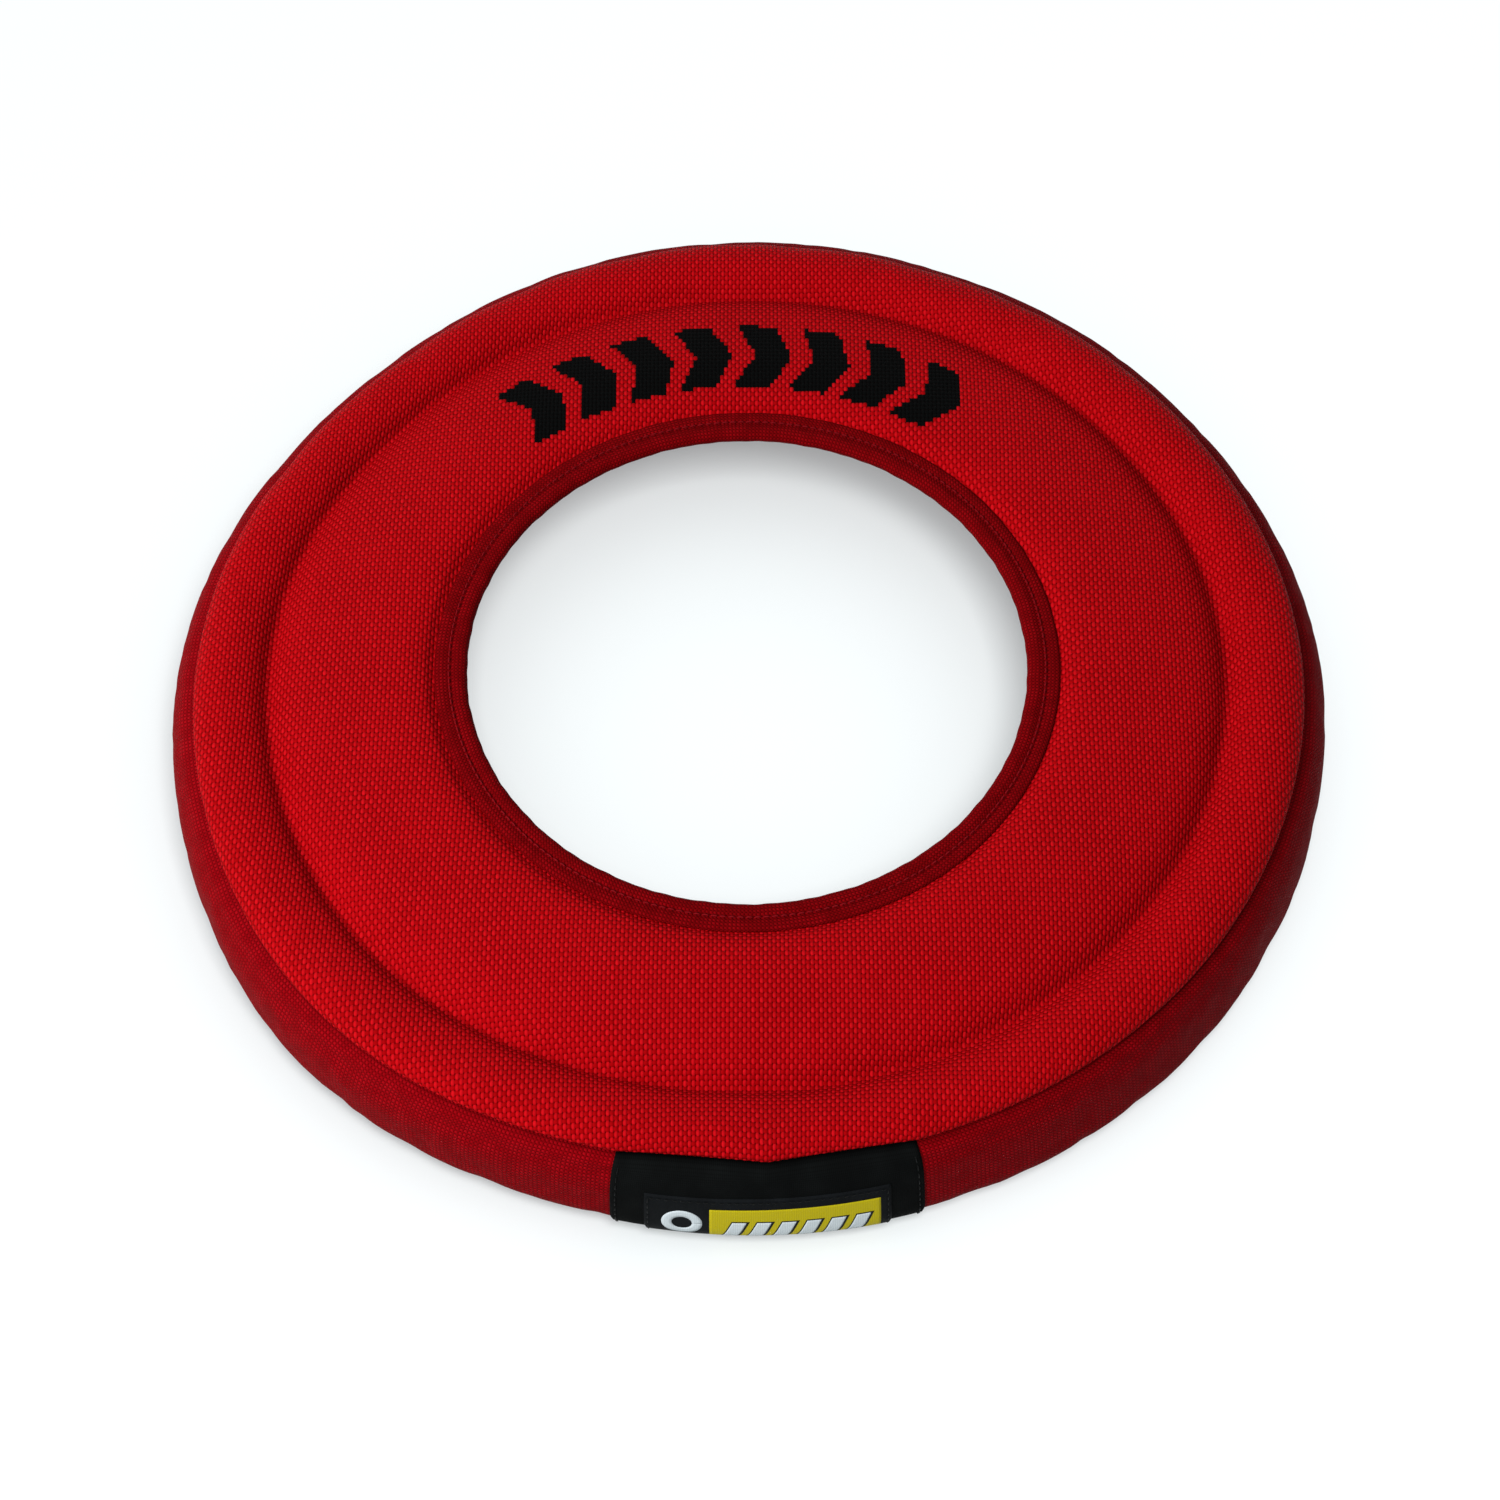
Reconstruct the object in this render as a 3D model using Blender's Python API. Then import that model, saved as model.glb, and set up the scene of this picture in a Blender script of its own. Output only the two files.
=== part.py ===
"""Soft flying ring: a deep foam rim and a thin foam web, sewn into fabric panels.

The ring lies flat on z = 0 with its centre on the z axis. The patch and its label face -Y.
Every panel is drawn as the middle line of its cloth in the (radius, height) half-plane, given
its thickness, and turned round the z axis.
"""

import math

import bmesh
import bpy
from mathutils import Matrix, Vector

MM = 0.001

# Driving dimensions of the ring
OUTER_RADIUS = 140 * MM        # widest point of the gusset
HOLE_RADIUS = 68 * MM          # bare edge of the taped centre hole
GROOVE_RADIUS = 115 * MM       # bottom of the groove between web and rim
CROWN_RADIUS = 126 * MM        # highest circle of the rim
SEAM_RADIUS = 133 * MM         # top and bottom seams of the gusset
WALL_RADIUS = 111.7 * MM       # inner wall of the rim, below the web

# Heights above the surface that the ring lies on
EDGE_LEVEL = 29.6 * MM         # middle of the layers at the edge of the hole
WEB_TOP = 32.6 * MM            # middle line of the cover at the crown of the web
GROOVE_LEVEL = 27.9 * MM
CROWN_LEVEL = 31.1 * MM
UPPER_SEAM_LEVEL = 26.7 * MM   # stitches between the cover's allowance and the gusset's
LOWER_SEAM_LEVEL = 2.3 * MM    # stitches between the base panel's allowance and the gusset's
LINING_LEVEL = 26.9 * MM       # middle line of the lining under the web

# Cloth, thread and clearances
COVER = 0.8 * MM               # coarse plain weave of the top cover
TAPE = 0.6 * MM                # finer cloth of the gusset, binding and inner wall
LINING = 0.5 * MM
BASE = 0.8 * MM
PATCH = 0.7 * MM
LABEL = 0.5 * MM
THREAD_RADIUS = 0.2 * MM
GAP = 0.3 * MM                 # left between any two pieces
ALLOWANCE = 4.6 * MM           # width of cloth turned in at a seam
SEAM_STEP = 0.8 * MM           # from a row of stitches to the middle of each cloth it joins
SEAM_FOLD = 0.5 * MM           # the cover turns in this far inside the seam's radius
THREAD_INSET = 1.8 * MM        # from the outer seams inward to their stitches
WALL_THREAD_INSET = 2.0 * MM   # from the inner wall outward to its stitches
CLOTH_INSET = 2.4 * MM         # from the hole's bare edge to the cover and lining in the tape
FLAT_INSET = 8.6 * MM          # from the hole's bare edge to the start of the padding
BASE_CORNER = 1.4 * MM         # from each lower seam to the flat part of the base panel
WALL_CORNER = 0.2 * MM         # from each lower seam to the fold of the base panel

# Hole binding and its stitches
BINDING_WIDTH = 7.2 * MM
BINDING_FOLD = 1.4 * MM        # from the middle of the layers to the middle of the tape
STITCH_RADIUS = HOLE_RADIUS + 4.6 * MM

# Patch and label, as angles round the ring and heights on the gusset
PATCH_ANGLE = -88.0            # degrees from +X to the middle of the patch
PATCH_HALF_WIDTH = 35.7 * MM
LABEL_HALF_WIDTH = 27.8 * MM
PATCH_LOW, PATCH_HIGH = 3.6 * MM, 25.2 * MM
LABEL_LOW, LABEL_HIGH = 5.0 * MM, 20.3 * MM
STITCH_MARGIN = 1.4 * MM       # from the edge of the patch or label to its stitches

SEGMENTS = 48                  # facets round the whole ring
SHARP_ANGLE = 40               # degrees between faces above which an edge is drawn sharp
PATCH_SEGMENTS = 8
GUSSET_STEPS = 6               # facets up the bulge of the gusset
FOLD_STEPS = 3                 # facets round the fold of the binding
THREAD_SIDES = 3

RED = (0.42, 0.004, 0.012)
DARK_RED = (0.20, 0.004, 0.010)
BLACK = (0.006, 0.007, 0.007)
WHITE = (0.80, 0.80, 0.78)
THREAD_RED = (0.30, 0.005, 0.012)


def clear_scene():
    """Remove every object so that the model starts from nothing."""
    for item in list(bpy.data.objects):
        bpy.data.objects.remove(item, do_unlink=True)


def make_material(name, colour, roughness):
    """Principled material for one kind of cloth, foam or thread."""
    material = bpy.data.materials.new(name)
    material.use_nodes = True
    shader = material.node_tree.nodes["Principled BSDF"]
    shader.inputs["Base Color"].default_value = (*colour, 1.0)
    shader.inputs["Roughness"].default_value = roughness
    shader.inputs["Metallic"].default_value = 0.0
    material.diffuse_color = (*colour, 1.0)
    return material


def arc(centre, radius, start, end, steps):
    """Points along an arc in the half-plane, angles in degrees from the outward direction."""
    points = []
    for step in range(steps + 1):
        angle = math.radians(start + (end - start) * step / steps)
        points.append((centre[0] + radius * math.cos(angle), centre[1] + radius * math.sin(angle)))
    return points


def offset_line(line, distance):
    """The line moved sideways by a distance, to the left of its direction when positive."""
    points = [Vector(point) for point in line]
    moved = []
    for index, point in enumerate(points):
        before = (point - points[index - 1]).normalized() if index else None
        after = (points[index + 1] - point).normalized() if index + 1 < len(points) else None
        before = before or after
        after = after or before
        normal_before = Vector((-before.y, before.x))
        normal_after = Vector((-after.y, after.x))
        middle = (normal_before + normal_after).normalized()
        reach = distance / max(middle.dot(normal_before), 0.5)
        moved.append(tuple(point + middle * reach))
    return moved


def height_on(line, radius):
    """Height of a line at one radius, for a line that runs outward."""
    for (near, low), (far, high) in zip(line, line[1:]):
        if near <= radius <= far:
            return low + (high - low) * (radius - near) / (far - near)
    return line[-1][1]


def cloth_outline(line, thickness):
    """Closed outline of cloth of one thickness, half of it on each side of the line."""
    return offset_line(line, thickness / 2) + offset_line(line, -thickness / 2)[::-1]


def link_mesh(name, mesh_data, material):
    """Turn finished bmesh data into a named, smooth-shaded object."""
    bmesh.ops.recalc_face_normals(mesh_data, faces=mesh_data.faces)
    mesh = bpy.data.meshes.new(name)
    mesh_data.to_mesh(mesh)
    mesh_data.free()
    mesh.materials.append(material)
    mesh.shade_smooth()
    mesh.set_sharp_from_angle(angle=math.radians(SHARP_ANGLE))
    item = bpy.data.objects.new(name, mesh)
    bpy.context.scene.collection.objects.link(item)
    return item


def turned_ring(name, outline, material):
    """Closed ring: an outline turned all the way round the z axis."""
    mesh_data = bmesh.new()
    corners = [mesh_data.verts.new((radius, 0.0, height)) for radius, height in outline]
    sides = [mesh_data.edges.new((corners[i - 1], corners[i])) for i in range(len(corners))]
    bmesh.ops.spin(mesh_data, geom=corners + sides, cent=(0, 0, 0), axis=(0, 0, 1),
                   angle=math.tau, steps=SEGMENTS, use_merge=True)
    return link_mesh(name, mesh_data, material)


def turned_strip(name, outline, middle, half_width, material):
    """Closed strip: an outline turned through the angle that a width spans on the gusset."""
    half_angle = half_width / OUTER_RADIUS
    start = Matrix.Rotation(math.radians(middle) - half_angle, 3, "Z")
    mesh_data = bmesh.new()
    corners = [mesh_data.verts.new(start @ Vector((radius, 0.0, height))) for radius, height in outline]
    face = mesh_data.faces.new(corners)
    bmesh.ops.spin(mesh_data, geom=[face], cent=(0, 0, 0), axis=(0, 0, 1),
                   angle=2 * half_angle, steps=PATCH_SEGMENTS)
    return link_mesh(name, mesh_data, material)


def thread_ring(name, radius, level, material):
    """A row of stitches round the ring, as one thread of plain section."""
    outline = arc((radius, level), THREAD_RADIUS, 90, 450, THREAD_SIDES)[:-1]
    return turned_ring(name, outline, material)


def thread_run(name, points, closed, material):
    """A row of stitches along any path, as one round thread."""
    curve = bpy.data.curves.new(name, "CURVE")
    curve.dimensions = "3D"
    curve.bevel_depth = THREAD_RADIUS
    curve.bevel_resolution = 1
    curve.use_fill_caps = True
    spline = curve.splines.new("POLY")
    spline.points.add(len(points) - 1)
    for target, point in zip(spline.points, points):
        target.co = (*point, 1.0)
    spline.use_cyclic_u = closed
    curve.materials.append(material)
    item = bpy.data.objects.new(name, curve)
    bpy.context.scene.collection.objects.link(item)
    return item


def bulge(low, high, steps, outward):
    """Part of the gusset's bulge between two heights, moved outward from its middle line."""
    top = UPPER_SEAM_LEVEL - SEAM_STEP
    bottom = LOWER_SEAM_LEVEL + SEAM_STEP
    half_height = (top - bottom) / 2
    depth = OUTER_RADIUS - TAPE / 2 - SEAM_RADIUS
    curve_radius = (half_height ** 2 + depth ** 2) / (2 * depth)
    centre = (OUTER_RADIUS - TAPE / 2 - curve_radius, (top + bottom) / 2)
    start = math.degrees(math.asin((low - centre[1]) / curve_radius))
    end = math.degrees(math.asin((high - centre[1]) / curve_radius))
    return arc(centre, curve_radius + outward, start, end, steps)


# Middle lines of the panels, each from the hole outward or from the base upward

def web_curve():
    """Cover over the web: from the start of the padding over its crown to the groove."""
    return [
        (HOLE_RADIUS + FLAT_INSET, EDGE_LEVEL + COVER / 2),
        (HOLE_RADIUS + 10.8 * MM, EDGE_LEVEL + COVER / 2 + 1.2 * MM),
        (HOLE_RADIUS + 15 * MM, WEB_TOP - 0.3 * MM),
        (HOLE_RADIUS + 21 * MM, WEB_TOP),
        (HOLE_RADIUS + 30 * MM, WEB_TOP - 0.6 * MM),
        (GROOVE_RADIUS - 8.8 * MM, WEB_TOP - 1.7 * MM),
        (GROOVE_RADIUS - 3.0 * MM, GROOVE_LEVEL + 1.8 * MM),
        (GROOVE_RADIUS, GROOVE_LEVEL),
    ]


def rim_curve():
    """Cover over the rim: from the groove over the crown to just above the top seam."""
    return [
        (GROOVE_RADIUS, GROOVE_LEVEL),
        (CROWN_RADIUS - 6.2 * MM, CROWN_LEVEL - 1.0 * MM),
        (CROWN_RADIUS, CROWN_LEVEL),
        (CROWN_RADIUS + 4.0 * MM, CROWN_LEVEL - 0.6 * MM),
        (SEAM_RADIUS - 1.0 * MM, CROWN_LEVEL - 1.8 * MM),
    ]


def cover_line():
    """Top cover: from the hole's edge over the web, the groove and the crown to the seam."""
    turn = UPPER_SEAM_LEVEL + SEAM_STEP + 0.1 * MM
    return [
        (HOLE_RADIUS + CLOTH_INSET, EDGE_LEVEL + COVER / 2),
        *web_curve(),
        *rim_curve()[1:],
        (SEAM_RADIUS, turn + 0.6 * MM),
        (SEAM_RADIUS - SEAM_FOLD, turn),
        (SEAM_RADIUS - SEAM_FOLD - ALLOWANCE, turn),
    ]


def lining_line():
    """Web lining: from the hole's edge, under the web, to the allowance inside the rim."""
    edge = EDGE_LEVEL - GAP - LINING / 2
    return [
        (HOLE_RADIUS + CLOTH_INSET, edge),
        (HOLE_RADIUS + FLAT_INSET, edge),
        (HOLE_RADIUS + 12 * MM, LINING_LEVEL + 0.3 * MM),
        (HOLE_RADIUS + 14 * MM, LINING_LEVEL),
        (WALL_RADIUS + ALLOWANCE, LINING_LEVEL),
    ]


def binding_line():
    """Hole binding: tape folded round the edge of the hole."""
    fold = (HOLE_RADIUS + BINDING_FOLD + TAPE / 2, EDGE_LEVEL)
    rim = HOLE_RADIUS + BINDING_WIDTH
    return [
        (rim, EDGE_LEVEL + BINDING_FOLD),
        *arc(fold, BINDING_FOLD, 90, 270, FOLD_STEPS),
        (rim, EDGE_LEVEL - BINDING_FOLD),
    ]


def gusset_line():
    """Edge gusset: bulged strip between the two seams, with an allowance turned in at each."""
    top = UPPER_SEAM_LEVEL - SEAM_STEP
    bottom = LOWER_SEAM_LEVEL + SEAM_STEP
    inner = SEAM_RADIUS - ALLOWANCE
    return [(inner, bottom), *bulge(bottom, top, GUSSET_STEPS, 0.0), (inner, top)]


def wall_line():
    """Inner wall of the rim: upright band with an allowance turned in at each end."""
    top = LINING_LEVEL - 2 * SEAM_STEP
    bottom = LOWER_SEAM_LEVEL + SEAM_STEP
    return [
        (WALL_RADIUS + ALLOWANCE, bottom),
        (WALL_RADIUS, bottom),
        (WALL_RADIUS, top),
        (WALL_RADIUS + ALLOWANCE, top),
    ]


def base_line():
    """Base panel: flat band that the ring stands on, turned up and in at both seams."""
    level = BASE / 2
    turn = LOWER_SEAM_LEVEL - SEAM_STEP + 0.05 * MM
    return [
        (WALL_RADIUS + ALLOWANCE, turn),
        (WALL_RADIUS + WALL_CORNER, turn),
        (WALL_RADIUS + BASE_CORNER, level),
        (SEAM_RADIUS - BASE_CORNER, level),
        (SEAM_RADIUS - WALL_CORNER, turn),
        (SEAM_RADIUS - ALLOWANCE, turn),
    ]


def web_foam_outline():
    """Foam sheet that fills the web between the cover and the lining."""
    upper = offset_line(web_curve(), -(COVER / 2 + GAP))[1:]
    floor = LINING_LEVEL + LINING / 2 + GAP
    upper[-1] = (upper[-1][0] - 2.0 * MM, floor + 0.4 * MM)
    return [
        *upper,
        (upper[-1][0], floor),
        (HOLE_RADIUS + 14.1 * MM, floor),
        (HOLE_RADIUS + 12.2 * MM, floor + 0.4 * MM),
        (HOLE_RADIUS + 10.4 * MM, EDGE_LEVEL - GAP),
    ]


def rim_foam_outline():
    """Foam ring of the rim, notched at its corners for the seam allowances."""
    crown = offset_line(rim_curve(), -(COVER / 2 + GAP))
    crown_start, crown_top = crown[1:3]
    inner = WALL_RADIUS + TAPE / 2 + GAP
    inner_notch = WALL_RADIUS + ALLOWANCE + GAP
    outer_notch = SEAM_RADIUS - ALLOWANCE - 2 * GAP
    notch_top = LOWER_SEAM_LEVEL + SEAM_STEP + TAPE / 2 + GAP
    outer_top = UPPER_SEAM_LEVEL - SEAM_STEP - TAPE / 2 - GAP
    inner_top = LINING_LEVEL - 2 * SEAM_STEP - TAPE / 2 - GAP
    return [
        (inner, notch_top),
        (inner_notch, notch_top),
        (inner_notch, BASE + GAP),
        (outer_notch, BASE + GAP),
        (outer_notch, notch_top),
        *bulge(notch_top, outer_top, GUSSET_STEPS, -(TAPE / 2 + GAP)),
        (outer_notch, outer_top),
        (outer_notch, height_on(crown, outer_notch)),
        crown_top,
        crown_start,
        (inner_notch, height_on(crown, inner_notch)),
        (inner_notch, inner_top),
        (inner, inner_top),
    ]


def on_gusset(across, height, outward):
    """Point on the gusset: metres across from the middle of the patch, height and offset."""
    radius, level = bulge(height, height + MM, 1, outward)[0]
    angle = math.radians(PATCH_ANGLE) + across / OUTER_RADIUS
    return (radius * math.cos(angle), radius * math.sin(angle), level)


def path_between(start, end, steps):
    """Evenly spaced (across, height) pairs from one corner to the next, without the last."""
    first, last = Vector(start), Vector(end)
    return [tuple(first.lerp(last, step / steps)) for step in range(steps)]


def label_stitch_path(outward):
    """Closed path of stitches just inside the edge of the label."""
    side = LABEL_HALF_WIDTH - STITCH_MARGIN
    low, high = LABEL_LOW + STITCH_MARGIN, LABEL_HIGH - STITCH_MARGIN
    corners = [(-side, low), (side, low), (side, high), (-side, high)]
    path = []
    for index, corner in enumerate(corners):
        steps = PATCH_SEGMENTS if index % 2 == 0 else GUSSET_STEPS // 2
        path += path_between(corner, corners[(index + 1) % len(corners)], steps)
    return [on_gusset(across, height, outward) for across, height in path]


def patch_stitch_path(side, outward):
    """Open path of stitches up one end of the patch."""
    across = side * (PATCH_HALF_WIDTH - STITCH_MARGIN)
    low, high = PATCH_LOW + STITCH_MARGIN, PATCH_HIGH - STITCH_MARGIN
    path = path_between((across, low), (across, high), GUSSET_STEPS) + [(across, high)]
    return [on_gusset(place, height, outward) for place, height in path]


def build_panels(coarse, fine, lining, base):
    """The sewn fabric panels."""
    turned_ring("top_cover", cloth_outline(cover_line(), COVER), coarse)
    turned_ring("edge_gusset", cloth_outline(gusset_line(), TAPE), fine)
    turned_ring("hole_binding", cloth_outline(binding_line(), TAPE), fine)
    turned_ring("inner_wall", cloth_outline(wall_line(), TAPE), fine)
    turned_ring("web_lining", cloth_outline(lining_line(), LINING), lining)
    turned_ring("base_panel", cloth_outline(base_line(), BASE), base)


def build_foam(foam):
    """The two pieces of foam inside the covers."""
    turned_ring("web_foam", web_foam_outline(), foam)
    turned_ring("rim_foam", rim_foam_outline(), foam)


def build_ring_threads(thread):
    """One thread for each row of stitches that runs right round the ring."""
    over = BINDING_FOLD + TAPE / 2 + GAP + THREAD_RADIUS
    thread_ring("binding_top_thread", STITCH_RADIUS, EDGE_LEVEL + over, thread)
    thread_ring("binding_under_thread", STITCH_RADIUS, EDGE_LEVEL - over, thread)
    thread_ring("top_seam_thread", SEAM_RADIUS - THREAD_INSET, UPPER_SEAM_LEVEL, thread)
    thread_ring("base_outer_thread", SEAM_RADIUS - THREAD_INSET, LOWER_SEAM_LEVEL, thread)
    thread_ring("base_inner_thread", WALL_RADIUS + WALL_THREAD_INSET, LOWER_SEAM_LEVEL, thread)
    thread_ring("lining_thread", WALL_RADIUS + WALL_THREAD_INSET, LINING_LEVEL - SEAM_STEP, thread)


def build_patch(patch, label, thread):
    """The patch over the gusset, the label on the patch, and the stitches that hold both."""
    patch_middle = TAPE / 2 + GAP + PATCH / 2
    label_middle = patch_middle + PATCH / 2 + GAP + LABEL / 2
    patch_line = bulge(PATCH_LOW, PATCH_HIGH, GUSSET_STEPS, patch_middle)
    label_line = bulge(LABEL_LOW, LABEL_HIGH, GUSSET_STEPS, label_middle)
    turned_strip("edge_patch", cloth_outline(patch_line, PATCH), PATCH_ANGLE, PATCH_HALF_WIDTH, patch)
    turned_strip("woven_label", cloth_outline(label_line, LABEL), PATCH_ANGLE, LABEL_HALF_WIDTH, label)
    label_over = label_middle + LABEL / 2 + GAP + THREAD_RADIUS
    patch_over = patch_middle + PATCH / 2 + GAP + THREAD_RADIUS
    thread_run("label_thread", label_stitch_path(label_over), True, thread)
    thread_run("patch_left_thread", patch_stitch_path(-1, patch_over), False, thread)
    thread_run("patch_right_thread", patch_stitch_path(1, patch_over), False, thread)


def main():
    """Build the whole ring."""
    clear_scene()
    coarse = make_material("coarse_red_nylon", RED, 0.55)
    fine = make_material("fine_dark_red_nylon", DARK_RED, 0.6)
    lining = make_material("dark_red_lining", DARK_RED, 0.7)
    base = make_material("dark_red_base", DARK_RED, 0.7)
    foam = make_material("closed_cell_foam", WHITE, 0.9)
    patch = make_material("black_patch", BLACK, 0.8)
    label = make_material("black_label", BLACK, 0.7)
    red_thread = make_material("red_thread", THREAD_RED, 0.5)
    black_thread = make_material("black_thread", BLACK, 0.5)
    build_panels(coarse, fine, lining, base)
    build_foam(foam)
    build_ring_threads(red_thread)
    build_patch(patch, label, black_thread)


main()
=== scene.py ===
"""Looks of the soft flying ring: woven covers, bound hole, stitches, patch and label."""

import math

import bpy
import numpy as np
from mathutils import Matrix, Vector


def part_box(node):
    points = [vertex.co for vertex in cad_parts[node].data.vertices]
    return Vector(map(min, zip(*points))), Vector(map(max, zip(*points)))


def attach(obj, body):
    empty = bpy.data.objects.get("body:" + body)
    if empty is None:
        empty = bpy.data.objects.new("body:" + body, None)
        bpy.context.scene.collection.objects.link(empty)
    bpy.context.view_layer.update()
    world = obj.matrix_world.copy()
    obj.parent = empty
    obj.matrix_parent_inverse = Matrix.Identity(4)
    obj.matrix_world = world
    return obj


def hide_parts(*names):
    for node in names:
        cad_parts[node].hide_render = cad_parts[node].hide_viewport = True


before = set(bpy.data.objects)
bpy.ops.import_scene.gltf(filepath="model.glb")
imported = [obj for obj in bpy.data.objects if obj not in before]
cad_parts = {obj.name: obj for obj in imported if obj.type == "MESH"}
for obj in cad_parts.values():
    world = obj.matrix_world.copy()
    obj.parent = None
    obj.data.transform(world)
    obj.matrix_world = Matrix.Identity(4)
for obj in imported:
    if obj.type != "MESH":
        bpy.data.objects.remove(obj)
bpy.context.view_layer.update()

MM = 0.001
BODY = "root"
COVER_DEPTH = 1.1 * MM         # from the foam to the upper face of the cover


# --- Places taken from the frame ---

def ring_span(node):
    """Smallest and largest distance of a CAD node from the z axis."""
    radii = [math.hypot(vertex.co.x, vertex.co.y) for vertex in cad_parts[node].data.vertices]
    return min(radii), max(radii)


def middle_height(node):
    """Height of the middle of a CAD node."""
    low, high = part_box(node)
    return (low.z + high.z) / 2


HOLE, TAPE_EDGE = ring_span("hole_binding")
SEAM = ring_span("top_cover")[1]
OUTER = ring_span("edge_gusset")[1]
WALL = ring_span("inner_wall")[0]
GROOVE = ring_span("web_foam")[1] + 3.0 * MM
STITCH_ROW = sum(ring_span("binding_top_thread")) / 2
EDGE_Z = middle_height("hole_binding")
TOP_SEAM_Z = middle_height("top_seam_thread")
BASE_SEAM_Z = middle_height("base_outer_thread")
LINING_SEAM_Z = middle_height("lining_thread")
WEB_TOP_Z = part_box("web_foam")[1].z + COVER_DEPTH
CROWN_TOP_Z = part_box("rim_foam")[1].z + COVER_DEPTH
PATCH_LOW, PATCH_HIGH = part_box("edge_patch")
LABEL_LOW, LABEL_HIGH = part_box("woven_label")
PATCH_BOW = 2.5 * MM           # from the foremost point of the patch back to its mean face
PATCH_MIDDLE = math.atan2(PATCH_LOW.y + PATCH_BOW, (PATCH_LOW.x + PATCH_HIGH.x) / 2)

# --- Sizes of the cloth and thread ---

WARP_PITCH = 0.98 * MM         # between threads that run towards the patch
WEFT_PITCH = 1.24 * MM         # between threads that run across
FINE_PITCH = 0.72 * MM         # between threads of the gusset, wall and lining
BINDING_PITCH = 0.66 * MM      # between threads of the binding
PATCH_PITCH = 0.45 * MM
LABEL_PITCH = 0.3 * MM
WEAVE_RELIEF = 0.06 * MM       # how far a float stands above or below the cloth
THREAD_RISE = 0.5              # how strongly a thread rises over a crossing
STITCH_PITCH = 2.05 * MM
RING_STITCH_SHARE = 0.78       # length of a stitch over the pitch, in the seams round the ring
EDGE_STITCH_SHARE = 0.75       # and on the patch and label
STITCH_RISE = 0.25 * MM        # how far its middle stands above its ends
BINDING_RISE = 1.75 * MM       # from the middle of the hole's edge to its rows of stitches
THREAD = 0.19 * MM             # radius of the sewing thread
SEED = 7

FOAM_GAP = 1.2 * MM            # least room between the foam and the top of the cover
SKIN_ROWS = 14                 # simulated rows of cloth in each panel of the rim
SKIN_COLUMNS = 280
SKIN_FRAMES = 18
SKIN_SPARE = 0.03              # share by which the cloth is larger than the rim
SKIN_NOISE = 0.05 * MM         # unevenness that it starts from
PUCKER_LIMIT = 2.5             # greatest depth of a pucker over the usual one
RIM_PUCKERS = 0.09 * MM        # usual depth of the puckers on the rim's top
GUSSET_PUCKERS = 0.13 * MM     # and on the gusset
SEAM_PUCKERS = 0.07 * MM       # more puckers close to the gusset's seams
GUSSET_PUCKER_COUNTS = (67, 103, 151)  # waves of them round the ring
TAPE_WAVE_COUNTS = (17, 31, 53, 88)    # waves of the binding round the hole
TAPE_WAVES = 0.12 * MM         # and their depth
TAPE_PULL = 0.14 * MM          # how far a stitch pulls the binding down

# Places where the soft rim is pressed in or pulled out: angle and half width in degrees, depth
DENTS = [
    (140, 27, -4.5 * MM),
    (226, 24, 3.3 * MM),
    (305, 25, -0.4 * MM),
    (0, 18, 0.8 * MM),
    (35, 14, -0.5 * MM),
    (85, 22, 0.8 * MM),
]
LOW_BULGE = (300, 40, 2.2 * MM)  # the lower edge stands out here, in the same terms
PINCHES = (58, 71, 84, 103, 117, 131, 152)  # angles where the top seam is pulled in a little
PINCH_HALF_WIDTH = 3.0
PINCH_DEPTH = -0.45 * MM
PATCH_REACH = 36 * MM          # the seam is straight this far to both sides of the patch's middle
PATCH_PULL = 5.0 * MM          # depth of the shallow V that its two straight runs make
HOLE_OVAL = 0.009              # how much narrower than long the hole is
TOP_SHIFT = 1.2 * MM           # the top cover sits this much nearer to the patch than the base

# --- Printed chevrons ---

MARK_COUNT = 8
MARK_MIDDLE = math.radians(91.5)   # angle of the middle of the row
MARK_PITCH = math.radians(9.2)
MARK_RADIUS = 94.2 * MM            # from the ring's middle to the points of the chevrons
MARK_HALF_HEIGHT = 10.1 * MM
MARK_HALF_STROKE = 4.7 * MM
MARK_SHIFT = 2.4 * MM              # centres the chevrons between their neighbours
MARK_OFFSET = 0.7 * MM             # the print sits this much off the ring's middle, both ways

# --- Label, across from the patch's middle and up from the base ---

LABEL_SHARE = 0.779                # width of the label over the patch's
LABEL_TOP = 20.3 * MM
LABEL_FACE = 1.32 * MM             # from the gusset to the face of the label
PANEL = -13.2 * MM, 25.4 * MM, 4.2 * MM, 17.2 * MM  # left, right, low, high
BAR_COUNT = 6
BAR_PITCH = 5.6 * MM
BAR_START = 3.0 * MM               # from the panel's left side to the first bar
BAR_WIDTH, BAR_LOW, BAR_HIGH = 3.2 * MM, 6.4 * MM, 12.5 * MM
BAR_LEAN = 0.35
BAR_BORDER = 0.45 * MM, 0.4 * MM   # width of the dark line beside the bars, and above and below
EMBLEM_MIDDLE = -19.4 * MM, 11.6 * MM
EMBLEM_INNER, EMBLEM_OUTER = 2.3 * MM, 4.6 * MM

# --- Colours, linear ---

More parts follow.
